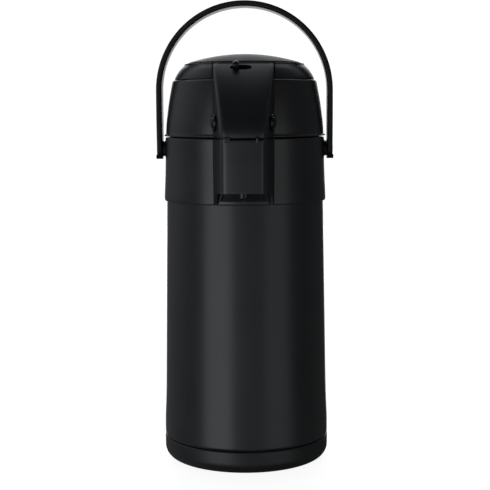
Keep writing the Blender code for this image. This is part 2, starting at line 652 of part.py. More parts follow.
def build_handle(paints, home):
    """The bail is one strap: two straight arms with round ends and an arch that widens to the grip."""
    mean = BAIL_OUT - BAIL_THICK / 2.0
    stations = []
    for degrees in (84.0, 62.0, 40.0, 18.0):
        turn = math.radians(degrees)
        stations.append((BAIL_PIVOT_Z - BAIL_HALF * math.sin(turn), BAIL_HALF * math.cos(turn)))
    stations += [(BAIL_PIVOT_Z + 2.0, BAIL_HALF), (BAIL_PIVOT_Z + 26.0, BAIL_ARM_HALF)]
    sections = []
    for side, order in ((-1, stations), (1, stations[::-1])):
        for z, half in order:
            flare = BAIL_SHOE if z < 297.0 else 0.0
            place = Vector((side * mean, 0.0, z))
            sections.append(strap_ring(place, Vector((side, 0.0, 0.0)), half, flare))
        if side < 0:
            for step in range(21):
                turn = math.radians(180.0 - 9.0 * step)
                out = Vector((math.cos(turn), 0.0, math.sin(turn)))
                place = Vector((0.0, 0.0, BAIL_CENTRE_Z)) + out * mean
                half = BAIL_ARM_HALF + (BAIL_GRIP_HALF - BAIL_ARM_HALF) * math.sin(turn) ** 2
                sections.append(strap_ring(place, out, half, 0.0))
    bail = lofted("handle", sections, paints["handle"], None, home)
    bores = []
    for side in (-1, 1):
        bores.append(rod("bore", 3.4, (side * 70.0, 0.0, BAIL_PIVOT_Z), (side * 90.0, 0.0, BAIL_PIVOT_Z), 16))
    cut(bail, joined("handle_bores", bores))
    seats = []
    for side in (-1, 1):
        seats.append(rod("seat", 5.5, (side * 81.5, 0.0, BAIL_PIVOT_Z), (side * 90.0, 0.0, BAIL_PIVOT_Z), 16))
    cut(bail, joined("handle_seats", seats))
    for side, name in ((-1, "left"), (1, "right")):
        frame = about_x(side, (0.0, 0.0, BAIL_PIVOT_Z))
        cap = [(0.0, 83.5), (5.0, 83.5), (5.0, 84.3), (4.2, 84.9), (0.0, 85.1)]
        turned(f"pivot_cap_{name}", cap, paints["gloss"], ROUND_FINE, frame, home)
        pin = [(0.0, 70.0), (2.4, 70.0), (3.0, 70.6), (3.0, 81.85), (5.0, 81.85), (5.0, 83.1), (0.0, 83.1)]
        turned(f"pivot_pin_{name}", pin, paints["steel"], ROUND_FINE, frame)
        bush = [(3.45, 72.3), (4.95, 72.3), (4.95, 76.9), (8.0, 76.9), (7.2, 77.5), (7.2, 78.1), (8.0, 78.7)]
        bush += [(3.45, 78.7)]
        turned(f"pivot_bushing_{name}", bush, paints["plastic"], 20, frame)
        clip = [(3.45, 71.0), (6.2, 71.0), (6.2, 71.9), (3.45, 71.9)]
        turned(f"pin_clip_{name}", clip, paints["steel"], ROUND_FINE, frame)


def strap_ring(place, out, half, flare):
    """One cross-section of the bail's strap, with softened corners."""
    thick = BAIL_THICK / 2.0
    soft = min(1.5, half * 0.45)
    outer = thick + flare
    profile = [(-thick, -half + soft), (-thick + 1.2, -half), (outer - 1.4, -half), (outer, -half + soft)]
    profile += [(a, -b) for a, b in reversed(profile)]
    return [place + out * a + Vector((0.0, b, 0.0)) for a, b in profile]


def main():
    clear_scene()
    paints = {
        "base": material("base_plastic", (0.022, 0.022, 0.024), 0.42),
        "body": material("satin_black_paint", (0.020, 0.020, 0.022), 0.36, 0.15),
        "plastic": material("black_plastic", (0.026, 0.026, 0.028), 0.45),
        "pad": material("pad_plastic", (0.034, 0.034, 0.037), 0.40),
        "handle": material("handle_plastic", (0.024, 0.024, 0.026), 0.40),
        "gloss": material("gloss_black_plastic", (0.012, 0.012, 0.013), 0.15),
        "inner": material("inner_plastic", (0.060, 0.060, 0.063), 0.55),
        "clear": material("tube_plastic", (0.55, 0.56, 0.56), 0.30),
        "rubber": material("black_rubber", (0.030, 0.030, 0.030), 0.80),
        "steel": material("brushed_steel", (0.56, 0.56, 0.57), 0.30, 1.0),
    }
    lid_home = joint_empty("lid_axis", (0.0, HINGE_Y, HINGE_Z))
    pad_home = joint_empty("pad_axis", (0.0, 0.0, PAD_TOP_Z))
    lock_home = joint_empty("lock_axis", (KNOB_X, LOCK_Y, LOCK_Z))
    handle_home = joint_empty("handle_axis", (0.0, 0.0, BAIL_PIVOT_Z))
    button_homes = {}
    for side, name in ((-1, "left"), (1, "right")):
        spot = button_frame(side).translation / MM
        button_homes[name] = joint_empty(f"button_axis_{name}", spot)
    build_base(paints)
    build_flask(paints)
    build_mouth(paints)
    build_spout(paints)
    build_collar(paints)
    build_lid(paints, lid_home)
    build_lock(paints, lid_home, lock_home)
    build_buttons(paints, lid_home, button_homes)
    build_pump(paints, lid_home, pad_home)
    build_handle(paints, handle_home)


main()
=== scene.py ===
"""Looks of the thermal coffee airpot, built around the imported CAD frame.

Lengths in the shape code are millimetres, and meshes are made in metres.
"""
import json
import math

import bmesh
import bpy
from mathutils import Matrix, Vector


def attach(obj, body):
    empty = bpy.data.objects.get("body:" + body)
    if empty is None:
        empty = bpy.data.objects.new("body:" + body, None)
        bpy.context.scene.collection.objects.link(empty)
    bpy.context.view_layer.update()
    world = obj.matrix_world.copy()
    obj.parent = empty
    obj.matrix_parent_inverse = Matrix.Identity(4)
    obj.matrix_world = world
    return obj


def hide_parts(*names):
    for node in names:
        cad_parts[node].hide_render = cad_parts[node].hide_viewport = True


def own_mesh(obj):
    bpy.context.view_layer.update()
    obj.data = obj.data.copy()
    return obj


MM = 0.001
SIDES = ((-1, "left"), (1, "right"))

# Facets round a turned piece, from a pin to the body
SMALL = 48
MEDIUM = 64
FACETS = 160
WIDE = 192

# Places and sizes that are the same in the CAD model
SEAM_LOW = 313.7
SEAM_HIGH = 314.9
HINGE_Y = 82.0
HINGE_Z = 314.3
PIVOT_Z = 302.7
SPOUT_Y = -92.0
HOOD_ROOT = 29.0
HOOD_WALL = 2.5
HOOD_WIDTHS = ((265.0, 19.3), (312.0, 19.5), (329.0, 20.7), (348.0, 23.1), (367.0, 25.8), (383.5, 28.5))
HOOD_TOP = (-55.6, 383.5)
HOOD_BEND_A = (-73.5, 372.6)
HOOD_BEND_B = (-107.0, 336.0)
HOOD_SEAM = (-107.0, 314.9)
PAD_BORE = 54.9
SLOT_X = -2.2
KNOB_X = -6.8
BUTTON_Y = -81.0
BUTTON_FACE_Y = -102.3
BUTTON_Z = 328.5
SLOT_Y = -62.3
LUGS = ((-17.8, -11.7), (11.6, 13.8))

# The hood's finer shape: its soft edges, the bulge of its face, and the rounding of its top corners
HOOD_EDGE = 4.2
FACE_CROWN = 0.0042
CROWN_END = 384.0
CROWN_FADE = 60.0
CORNER_FOOT = 379.0
CORNER_RISE = 4.5
CORNER_DRAW = 2.6
HALF_AT_BUTTON = 20.66
LID_RADII = ((314.9, 76.0), (325.5, 75.5), (337.0, 74.2), (352.0, 72.0), (365.0, 69.4), (371.0, 66.2),
             (383.6, 55.3))

# The camera: its yaw in degrees, its place in metres, its tilt and roll in radians, its lens in millimetres
CAMERA_YAW = 0.9
CAMERA_PLACE = (-0.00034, -1.2358, 0.34495)
CAMERA_TILT = 0.11
CAMERA_ROLL = -0.0055
LENS = 93.57

# The studio
ROOM_LIGHT = 0.033
BACKDROP_GLOW = 1.05
FLOOR_GLOW = 0.92

# Directions in which the room is paler: where, from and to what closeness it fades in, and how bright
ROOM_LOBES = (
    ((0.0, 1.0, 0.0), 0.90, 0.985, 0.1),
    ((0.0, 0.75, 0.66), 0.64, 0.98, 1.1),
    ((-0.85, 0.30, 0.50), 0.72, 1.0, 0.24),
    ((-1.0, 0.35, 0.0), 0.10, 0.95, 0.10),
    ((1.0, 0.10, 0.0), 0.40, 1.0, 0.035),
    ((0.0, -1.0, -0.22), 0.72, 1.0, 0.25),
)

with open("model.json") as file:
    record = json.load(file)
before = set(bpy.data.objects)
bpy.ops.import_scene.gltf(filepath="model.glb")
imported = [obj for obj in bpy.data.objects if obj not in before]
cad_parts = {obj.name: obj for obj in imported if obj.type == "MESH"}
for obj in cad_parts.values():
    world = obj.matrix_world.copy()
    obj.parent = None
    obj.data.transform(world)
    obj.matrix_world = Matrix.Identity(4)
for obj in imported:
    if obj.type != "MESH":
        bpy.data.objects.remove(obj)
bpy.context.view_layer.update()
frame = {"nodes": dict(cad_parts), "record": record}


# ---------------------------------------------------------------- mesh helpers

def mesh_object(name, points, faces, transform=None, angle=32.0):
    mesh = bpy.data.meshes.new(name)
    mesh.from_pydata([Vector(p) * MM for p in points], [], faces)
    if transform is not None:
        mesh.transform(transform)
    shape = bmesh.new()
    shape.from_mesh(mesh)
    bmesh.ops.remove_doubles(shape, verts=shape.verts, dist=1e-6)
    bmesh.ops.recalc_face_normals(shape, faces=shape.faces)
    shape.to_mesh(mesh)
    shape.free()
    mesh.shade_smooth()
    mesh.set_sharp_from_angle(angle=math.radians(angle))
    obj = bpy.data.objects.new(name, mesh)
    bpy.context.scene.collection.objects.link(obj)
    return obj


def revolve_points(outline, facets):
    points = []
    rings = []
    for radius, height in outline:
        if radius < 1e-6:
            rings.append([len(points)] * facets)
            points.append((0.0, 0.0, height))
            continue
        rings.append(list(range(len(points), len(points) + facets)))
        for i in range(facets):
            turn = 2.0 * math.pi * i / facets
            points.append((radius * math.cos(turn), radius * math.sin(turn), height))
    faces = []
    for a, b in zip(rings, rings[1:] + rings[:1]):
        for i in range(facets):
            j = (i + 1) % facets
            face = []
            for corner in (a[i], a[j], b[j], b[i]):
                if corner not in face:
                    face.append(corner)
            if len(face) > 2:
                faces.append(face)
    return points, faces


def turned(name, outline, facets=FACETS, transform=None, angle=32.0):
    """A closed outline of (radius, height) points turned about Z."""
    points, faces = revolve_points(outline, facets)
    return mesh_object(name, points, faces, transform, angle)


def grid_faces(rows, columns, closed=False):
    faces = []
    span = columns if closed else columns - 1
    for r in range(rows - 1):
        for c in range(span):
            d = (c + 1) % columns
            faces.append((r * columns + c, r * columns + d, (r + 1) * columns + d, (r + 1) * columns + c))
    return faces


def lofted(name, sections, transform=None, angle=32.0):
    """Closed skin through equal rings of points, capped at both ends."""
    count = len(sections[0])
    points = [p for section in sections for p in section]
    faces = grid_faces(len(sections), count, closed=True)
    faces.append(tuple(range(count)))
    faces.append(tuple(range(len(points) - count, len(points))))
    return mesh_object(name, points, faces, transform, angle)


def prism(name, corners, low, high, transform=None):
    """A flat outline of (x, y) points raised from one height to another."""
    return lofted(name, [[(x, y, z) for x, y in corners] for z in (low, high)], transform)


def box(name, x, y, z, transform=None):
    """A block between a low and a high value on each axis."""
    corners = [(x[0], y[0]), (x[1], y[0]), (x[1], y[1]), (x[0], y[1])]
    return prism(name, corners, z[0], z[1], transform)


def rounded(points, radii, steps=5):
    """An outline with its corners softened: a quadratic bend at each point that has a radius."""
    out = []
    count = len(points)
    for i, point in enumerate(points):
        radius = radii[i] if i < len(radii) else 0.0
        here = Vector(point)
        before = Vector(points[i - 1])
        after = Vector(points[(i + 1) % count])
        if radius <= 0.0:
            out.append(tuple(here))
            continue
        back = before - here
        ahead = after - here
        a = here + back.normalized() * min(radius, back.length * 0.48)
        b = here + ahead.normalized() * min(radius, ahead.length * 0.48)
        for k in range(steps + 1):
            t = k / steps
            out.append(tuple(a * (1 - t) ** 2 + here * (2 * t * (1 - t)) + b * t * t))
    return out


def flowing(points, steps=6):
    """A smooth curve through the points (Catmull-Rom)."""
    out = []
    last = len(points) - 1
    for i in range(last):
        p0 = Vector(points[max(i - 1, 0)])
        p1 = Vector(points[i])
        p2 = Vector(points[i + 1])
        p3 = Vector(points[min(i + 2, last)])
        for k in range(steps):
            t = k / steps
            out.append(tuple(0.5 * (2 * p1 + (p2 - p0) * t + (2 * p0 - 5 * p1 + 4 * p2 - p3) * t * t
                                    + (3 * p1 - p0 - 3 * p2 + p3) * t ** 3)))
    out.append(tuple(points[-1]))
    return out


def apply_modifiers(obj, angle=32.0):
    bpy.context.view_layer.update()
    graph = bpy.context.evaluated_depsgraph_get()
    mesh = bpy.data.meshes.new_from_object(obj.evaluated_get(graph))
    obj.modifiers.clear()
    obj.data = mesh
    mesh.shade_smooth()
    mesh.set_sharp_from_angle(angle=math.radians(angle))
    return obj


def carve(obj, cutters, angle=32.0):
    for cutter in cutters:
        step = obj.modifiers.new("carve", "BOOLEAN")
        step.operation = "DIFFERENCE"
        step.object = cutter
        step.solver = "EXACT"
    apply_modifiers(obj, angle)
    for cutter in cutters:
        bpy.data.objects.remove(cutter, do_unlink=True)


def join(name, objects, angle=32.0):
    """Several bare shapes in one object."""
    shape = bmesh.new()
    for obj in objects:
        shape.from_mesh(obj.data)
    mesh = bpy.data.meshes.new(name)
    shape.to_mesh(mesh)
    shape.free()
    for obj in objects:
        bpy.data.objects.remove(obj, do_unlink=True)
    mesh.shade_smooth()
    mesh.set_sharp_from_angle(angle=math.radians(angle))
    joined = bpy.data.objects.new(name, mesh)
    bpy.context.scene.collection.objects.link(joined)
    return joined


def soften(obj, width):
    step = obj.modifiers.new("soft_edges", "BEVEL")
    step.width = width * MM
    step.segments = 2
    step.limit_method = "ANGLE"
    step.angle_limit = math.radians(40.0)
    return apply_modifiers(obj)


def place(obj, body, nodes, material):
    """A finished piece gets its look, its body and the CAD nodes that it stands for."""
    obj.data.materials.clear()
    obj.data.materials.append(material)
    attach(obj, body)
    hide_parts(*nodes)


def across(y, z, side=1):
    """Lays a piece that was made about Z along X, at this y and z."""
    return Matrix.Translation(Vector((0.0, y, z)) * MM) @ Matrix.Rotation(math.radians(90.0 * side), 4, "Y")


def quarters(first):
    """Four turns about Z, a quarter apart."""
    return [Matrix.Rotation(math.radians(first + 90.0 * k), 4, "Z") for k in range(4)]


# ---------------------------------------------------------------- materials

class Nodes:
    """A short way to write a node tree."""

    def __init__(self, name):
        self.material = bpy.data.materials.new(name)
        self.material.use_nodes = True
        self.tree = self.material.node_tree
        self.shader = self.tree.nodes["Principled BSDF"]
        self.space = self.tree.nodes.new("ShaderNodeTexCoord").outputs["Object"]

    def link(self, a, b):
        self.tree.links.new(a, b)

    def noise(self, size_mm, detail=3.0, rough=0.55, stretch=None):
        node = self.tree.nodes.new("ShaderNodeTexNoise")
        node.inputs["Scale"].default_value = 1.0 / (size_mm * MM)
        node.inputs["Detail"].default_value = detail
        node.inputs["Roughness"].default_value = rough
        source = self.space
        if stretch is not None:
            mapping = self.tree.nodes.new("ShaderNodeMapping")
            mapping.inputs["Scale"].default_value = stretch
            self.link(self.space, mapping.inputs["Vector"])
            source = mapping.outputs["Vector"]
        self.link(source, node.inputs["Vector"])
        return node.outputs["Fac"]

    def cells(self, size_mm):
        node = self.tree.nodes.new("ShaderNodeTexVoronoi")
        node.feature = "SMOOTH_F1"
        node.inputs["Scale"].default_value = 1.0 / (size_mm * MM)
        self.link(self.space, node.inputs["Vector"])
        return node.outputs["Distance"]

    def remap(self, value, low, high, out_low, out_high):
        node = self.tree.nodes.new("ShaderNodeMapRange")
        node.inputs["From Min"].default_value = low
        node.inputs["From Max"].default_value = high
        node.inputs["To Min"].default_value = out_low
        node.inputs["To Max"].default_value = out_high
        self.link(value, node.inputs["Value"])
        return node.outputs["Result"]

    def math(self, operation, a, b):
        node = self.tree.nodes.new("ShaderNodeMath")
        node.operation = operation
        for socket, value in zip(node.inputs, (a, b)):
            if isinstance(value, (int, float)):
                socket.default_value = value
            else:
                self.link(value, socket)
        return node.outputs["Value"]

    def blend(self, factor, a, b):
        node = self.tree.nodes.new("ShaderNodeMix")
        node.data_type = "RGBA"
        self.link(factor, node.inputs[0])
        for socket, value in ((node.inputs[6], a), (node.inputs[7], b)):
            if isinstance(value, tuple):
                socket.default_value = (*value, 1.0)
            else:
                self.link(value, socket)
        return node.outputs[2]

    def bump(self, height, strength, distance_mm, under=None):
        node = self.tree.nodes.new("ShaderNodeBump")
        node.inputs["Strength"].default_value = strength
        node.inputs["Distance"].default_value = distance_mm * MM
        self.link(height, node.inputs["Height"])
        if under is not None:
            self.link(under, node.inputs["Normal"])
        return node.outputs["Normal"]

    def edges(self, low=0.52, high=0.62):
        """1 on sharp outer edges, 0 on flats and hollows."""
        node = self.tree.nodes.new("ShaderNodeNewGeometry")
        return self.remap(node.outputs["Pointiness"], low, high, 0.0, 1.0)


def plastic(name, colour, lighter, rough, grain_mm=0.45, grain=0.10, wear=0.5, specular=0.5, coat=0.0):
    """Moulded plastic: a fine etched grain, cloudy gloss, faint flow marks and edges rubbed lighter."""
    n = Nodes(name)
    cloud = n.noise(38.0, 4.0)
    fine = n.noise(2.6, 3.0)
    speck = n.noise(grain_mm, 2.0, 0.6)
    cell = n.cells(grain_mm * 1.7)
    scuff = n.noise(5.0, 5.0, 0.7, (1.0, 1.0, 0.18))
    colour_a = n.blend(n.remap(cloud, 0.35, 0.65, 0.0, 1.0), colour, lighter)
    rub = n.math("MULTIPLY", n.edges(), n.remap(fine, 0.4, 0.6, 0.15, wear))
    worn = tuple(min(c * 2.2 + 0.012, 1.0) for c in lighter)
    n.link(n.blend(rub, colour_a, worn), n.shader.inputs["Base Color"])
    cloudy = n.remap(cloud, 0.3, 0.7, rough - 0.03, rough + 0.03)
    gloss = n.math("ADD", cloudy, n.remap(scuff, 0.55, 0.8, 0.0, 0.06))
    n.link(n.math("ADD", gloss, n.remap(speck, 0.3, 0.7, -0.015, 0.015)), n.shader.inputs["Roughness"])
    height = n.math("ADD", n.math("MULTIPLY", speck, 0.6), n.math("MULTIPLY", cell, 0.4))
    skin = n.bump(height, grain, grain_mm * 0.35)
    n.link(n.bump(cloud, 0.05, 0.6, skin), n.shader.inputs["Normal"])
    n.shader.inputs["Specular IOR Level"].default_value = specular
    n.shader.inputs["Coat Weight"].default_value = coat
    n.shader.inputs["Coat Roughness"].default_value = 0.2
    return n.material


def painted_steel():
    """Satin black baked coat on steel: orange peel, faint vertical handling marks and a little dust."""
    n = Nodes("satin_black_paint_look")
    cloud = n.noise(60.0, 4.0)
    peel = n.noise(1.5, 2.0, 0.5)
    tiny = n.noise(0.35, 2.0, 0.5)
    marks = n.noise(14.0, 5.0, 0.7, (2.5, 2.5, 0.25))
    dust = n.noise(0.9, 2.0, 0.8)
    base = n.blend(n.remap(cloud, 0.35, 0.65, 0.0, 1.0), (0.0150, 0.0156, 0.0172), (0.0188, 0.0196, 0.0216))
    fleck = n.remap(dust, 0.74, 0.80, 0.0, 0.35)
    n.link(n.blend(fleck, base, (0.06, 0.06, 0.063)), n.shader.inputs["Base Color"])
    gloss = n.math("ADD", n.remap(cloud, 0.3, 0.7, 0.325, 0.365), n.remap(marks, 0.5, 0.8, 0.0, 0.05))
    n.link(gloss, n.shader.inputs["Roughness"])
    skin = n.bump(peel, 0.10, 0.10)
    n.link(n.bump(tiny, 0.05, 0.05, skin), n.shader.inputs["Normal"])
    n.shader.inputs["Specular IOR Level"].default_value = 0.5
    n.shader.inputs["Coat Weight"].default_value = 0.15
    n.shader.inputs["Coat Roughness"].default_value = 0.22
    return n.material


def rubber(name, colour=(0.020, 0.020, 0.020), lighter=(0.032, 0.032, 0.033)):
    n = Nodes(name)
    bloom = n.noise(16.0, 5.0, 0.65)
    speck = n.noise(0.7, 3.0, 0.6)
    n.link(n.blend(n.remap(bloom, 0.4, 0.7, 0.0, 1.0), colour, lighter), n.shader.inputs["Base Color"])
    n.link(n.remap(bloom, 0.3, 0.7, 0.72, 0.88), n.shader.inputs["Roughness"])
    n.link(n.bump(speck, 0.25, 0.15), n.shader.inputs["Normal"])
    return n.material


def steel(name="brushed_steel_look", stretch=(1.0, 1.0, 14.0), rough=0.26):
    """Stainless with a fine brushed grain that runs round the piece."""
    n = Nodes(name)
    grain = n.noise(1.6, 6.0, 0.75, stretch)
    cloud = n.noise(22.0, 3.0)
    tone = n.blend(n.remap(grain, 0.3, 0.7, 0.0, 1.0), (0.47, 0.47, 0.48), (0.60, 0.60, 0.61))
    n.link(tone, n.shader.inputs["Base Color"])
    n.shader.inputs["Metallic"].default_value = 1.0
    brushed = n.remap(grain, 0.2, 0.8, rough - 0.05, rough + 0.08)
    gloss = n.math("ADD", brushed, n.remap(cloud, 0.3, 0.7, -0.02, 0.03))
    n.link(gloss, n.shader.inputs["Roughness"])
    n.link(n.bump(grain, 0.08, 0.05), n.shader.inputs["Normal"])
    return n.material


def tube_plastic():
    n = Nodes("tube_plastic_look")
    cloud = n.noise(12.0, 4.0)
    lines = n.noise(1.2, 3.0, 0.6, (1.0, 1.0, 0.05))
    n.link(n.blend(n.remap(cloud, 0.3, 0.7, 0.0, 1.0), (0.50, 0.50, 0.49), (0.58, 0.58, 0.56)),
           n.shader.inputs["Base Color"])
    n.link(n.remap(cloud, 0.3, 0.7, 0.24, 0.34), n.shader.inputs["Roughness"])
    n.link(n.bump(lines, 0.1, 0.1), n.shader.inputs["Normal"])
    n.shader.inputs["Subsurface Weight"].default_value = 0.15
    n.shader.inputs["Subsurface Radius"].default_value = (0.004, 0.004, 0.004)
    return n.material


BODY = painted_steel()
PLASTIC = plastic("black_plastic_look", (0.0098, 0.0104, 0.0120), (0.0132, 0.0139, 0.0158), 0.33,
                  specular=0.68)
BASE = plastic("base_plastic_look", (0.0130, 0.0134, 0.0144), (0.0165, 0.0170, 0.0182), 0.40,
               specular=0.5)
PAD = plastic("pad_plastic_look", (0.0180, 0.0186, 0.0205), (0.0220, 0.0228, 0.0250), 0.43, 0.5, 0.08,
              specular=0.12)
HANDLE = plastic("handle_plastic_look", (0.0032, 0.0036, 0.0046), (0.0048, 0.0053, 0.0064), 0.38, 0.5, 0.10,
                 specular=0.34)
GLOSS = plastic("gloss_black_look", (0.0026, 0.0027, 0.0031), (0.0036, 0.0037, 0.0042), 0.11, 0.4, 0.02, 0.1,
               specular=0.42)
INNER = plastic("inner_plastic_look", (0.048, 0.048, 0.051), (0.058, 0.058, 0.062), 0.50, 0.6, 0.15)
TUBE = tube_plastic()
RUBBER = rubber("black_rubber_look")
STEEL = steel()
SCREW_STEEL = steel("screw_steel_look", (1.0, 1.0, 1.0), 0.32)

CAD_LOOKS = {
    "base_plastic": BASE,
    "satin_black_paint": BODY,
    "black_plastic": PLASTIC,
    "pad_plastic": PAD,
    "handle_plastic": HANDLE,
    "gloss_black_plastic": GLOSS,
    "inner_plastic": INNER,
    "tube_plastic": TUBE,
    "black_rubber": RUBBER,
    "brushed_steel": STEEL,
}


def dress_cad_nodes():
    """Every CAD node gets its finished look, whether or not a finer piece stands for it later."""
    for entry in frame["record"]["subparts"]:
        obj = frame["nodes"][entry["node"]]
        look = CAD_LOOKS[entry["material_slot"]]
        if "screw" in entry["node"] or "clip" in entry["node"] or "pin" in entry["node"]:
            look = SCREW_STEEL
        if not obj.material_slots:
            obj.data.materials.append(look)
        for slot in obj.material_slots:
            slot.material = look


# ---------------------------------------------------------------- hood shapes

def bezier(t, a, b, c, d):
    s = 1.0 - t
    return tuple(s ** 3 * a[i] + 3 * s * s * t * b[i] + 3 * s * t * t * c[i] + t ** 3 * d[i]
                 for i in range(2))


def nose(t):
    """The hood's front profile as (y, z), from its top at 0 to the lid seam at 1."""
    return bezier(t, HOOD_TOP, HOOD_BEND_A, HOOD_BEND_B, HOOD_SEAM)


def table_value(table, z):
    for (z0, w0), (z1, w1) in zip(table, table[1:]):
        if z <= z1:
            return w0 + (w1 - w0) * max(z - z0, 0.0) / (z1 - z0)
    return table[-1][1]


def hood_half(z):
    """Half the width of the hood's face, with the bends of its table smoothed."""
    total = 0.0
    for shift in (-6.0, -3.0, 0.0, 3.0, 6.0):
        total += table_value(HOOD_WIDTHS, z + shift)
    return total / 5.0


def lid_radius(z):
    return table_value(LID_RADII, z)


def hood_root_y(radius):
    return -math.sqrt(radius ** 2 - HOOD_ROOT ** 2) + 1.5


def hood_row(y_front, z, y_root):
    """Points from the left root to the right root across one level of the hood's skin."""
    half = hood_half(z) - CORNER_DRAW * max(0.0, (z - CORNER_FOOT) / CORNER_RISE) ** 2
    lean = (HOOD_ROOT - half) / (y_root - y_front)
    wall_end = Vector((half + HOOD_EDGE * lean, y_front + HOOD_EDGE))
    corner = Vector((half, y_front))
    face_end = Vector((half - HOOD_EDGE, y_front))
    crown = FACE_CROWN * max(0.0, min(1.0, (CROWN_END - z) / CROWN_FADE))
    right = []
    root = Vector((HOOD_ROOT, y_root))
    for k in range(12):
        right.append(root.lerp(wall_end, k / 12.0))
    for k in range(8):
        t = k / 7.0
        right.append(wall_end * (1 - t) ** 2 + corner * (2 * t * (1 - t)) + face_end * t * t)
    for k in range(1, 7):
        right.append(face_end.lerp(Vector((0.0, y_front)), k / 7.0))
    row = [(p.x, p.y + crown * min(p.x, half) ** 2, z) for p in right] + [(0.0, y_front, z)]
    return [(-x, y, h) for x, y, h in row[:-1]] + row[::-1]


def outward(obj):
    """Turn a sheet's faces away from the object's axis before it gets its thickness."""
    shape = bmesh.new()
    shape.from_mesh(obj.data)
    bmesh.ops.recalc_face_normals(shape, faces=shape.faces)
    shape.faces.ensure_lookup_table()
    face = min(shape.faces, key=lambda f: f.calc_center_median().y)
    if face.normal.y > 0.0:
        bmesh.ops.reverse_faces(shape, faces=shape.faces)
    shape.to_mesh(obj.data)
    shape.free()


def hood_skin(name, rows):
    """The hood's outside from its rows, with its wall's thickness inwards."""
    points = [p for row in rows for p in row]
    obj = mesh_object(name, points, grid_faces(len(rows), len(rows[0])), None, 50.0)
    outward(obj)
    step = obj.modifiers.new("wall", "SOLIDIFY")
    step.thickness = HOOD_WALL * MM
    step.offset = -1.0
    return apply_modifiers(obj, 40.0)


def lid_hood():
    rows = []
    count = 44
    reach = PAD_BORE + 0.1
    reach_x = HOOD_ROOT - 0.2
    y, z = HOOD_SEAM
    for rise, inset in ((0.0, 0.7), (0.3, 0.25), (1.0, 0.0)):
        rows.append(hood_row(y + inset, z + rise, hood_root_y(lid_radius(z))))
    for k in range(1, count + 1):
        y, z = nose(1.0 - (0.04 + 0.93 * k / count))
        rows.append(hood_row(y, z, hood_root_y(lid_radius(z))))
    rows.append([(x, y, min(HOOD_TOP[1], h + 0.9)) for x, y, h in rows[-1]])
    top = []
    for x, y, z in rows[-1]:
        x_in = max(-reach_x, min(reach_x, x))
        top.append((x_in, -math.sqrt(reach ** 2 - x_in ** 2), z + 0.1))
    for share in (0.5, 1.0):
        rows.append([tuple(a + (b - a) * share for a, b in zip(p, q)) for p, q in zip(rows[-1], top)])
    rows.append([(x * 0.985, y * 0.985, z - 2.2) for x, y, z in top])
    return hood_skin("lid_hood_skin", rows)


def collar_hood():
    """The hood below the seam: its lower edge is nearly level to a knee, then falls steeply to a heel."""
    rows = []
    y, z = HOOD_SEAM[0], SEAM_LOW
    for drop, inset in ((0.0, 0.8), (0.35, 0.22), (1.0, 0.0)):
        rows.append(hood_row(y + inset, z - drop, hood_root_y(76.5)))
    heel_y, heel_z = -77.0, 253.2
    knee_y, knee_z = -80.5, 264.2
    foot_y, foot_z = -108.0, 265.9
    lean_end = 291.0
    for k in range(1, 13):
        z = SEAM_LOW - 1.0 - (SEAM_LOW - 1.0 - lean_end) * k / 12.0
        y = HOOD_SEAM[0] + (foot_y - HOOD_SEAM[0]) * k / 12.0
        rows.append(hood_row(y, z, hood_root_y(76.8)))
    base = rows[-1]
    for k in range(1, 15):
        t = k / 14.0
        row = []
        for x, y, z in base:
            if y < knee_y:
                end = knee_z + (knee_y - y) * (foot_z - knee_z) / (knee_y - foot_y)
            else:
                end = max(heel_z + (heel_y - y) * (knee_z - heel_z) / (heel_y - knee_y), 253.4)
            row.append((x, y, z + (end - z) * t))
        rows.append(row)
    return hood_skin("collar_hood_skin", rows)


# ---------------------------------------------------------------- pieces

def make_base():
    outline = [(66.0, 0.6), (67.8, 0.6)]
    for k in range(1, 17):
        turn = math.radians(90.0 * k / 16.0)
        outline.append((67.8 + 12.0 * math.sin(turn), 12.6 - 12.0 * math.cos(turn)))
    outline += [(79.8, 20.6), (79.8, 21.4), (79.65, 22.2), (79.3, 22.7), (78.8, 22.9), (76.2, 22.9)]
    outline += [(76.2, 9.0), (72.5, 3.6), (66.0, 3.6)]
    place(turned("base_ring_fine", outline), "vessel", ["base_ring"], BASE)
    pad = [(0.0, 0.0), (8.0, 0.0)]
    for k in range(6):
        r = 14.0 + 7.5 * k
        pad += [(r, 0.0), (r + 0.5, 0.9), (r + 2.0, 0.9), (r + 2.5, 0.0)]
    pad += [(57.6, 0.0), (58.6, 0.4), (59.0, 1.2), (59.0, 3.6), (0.0, 3.6)]
    place(turned("foot_pad_grooved", pad, 96), "vessel", ["foot_pad"], RUBBER)


def make_body():
    side = flowing([(79.7, 27.0), (79.7, 34.0), (79.65, 40.0), (79.3, 48.0), (78.9, 57.0), (78.5, 70.0),
                    (78.14, 89.0), (77.2, 149.0), (76.27, 208.0), (75.66, 246.5), (75.42, 262.0)], 8)
    outline = [(76.8, 23.5), (78.2, 23.5), (79.0, 23.9), (79.5, 24.9), (79.7, 26.2)] + side
    outline += [(74.22, 262.0), (76.94, 89.0), (77.7, 57.0), (78.4, 40.0), (78.4, 24.7), (76.8, 24.7)]
    place(turned("body_shell_fine", outline, WIDE), "vessel", ["body_shell"], BODY)


def recess_tool():
    """A shallow pocket in the collar behind the nozzle, with a sloping lower lip."""
    corners = ((76.3, 259.6, 14.3), (76.3, 270.0, 14.3), (79.5, 270.0, 14.3), (79.5, 254.4, 18.2))
    sections = []
    for k in range(25):
        share = k / 12.0 - 1.0
        ring = []
        for radius, z, spread in corners:
            turn = math.radians(-90.0 + spread * share)
            ring.append((radius * math.cos(turn), radius * math.sin(turn), z))
        sections.append(ring)
    return lofted("recess_tool", sections)


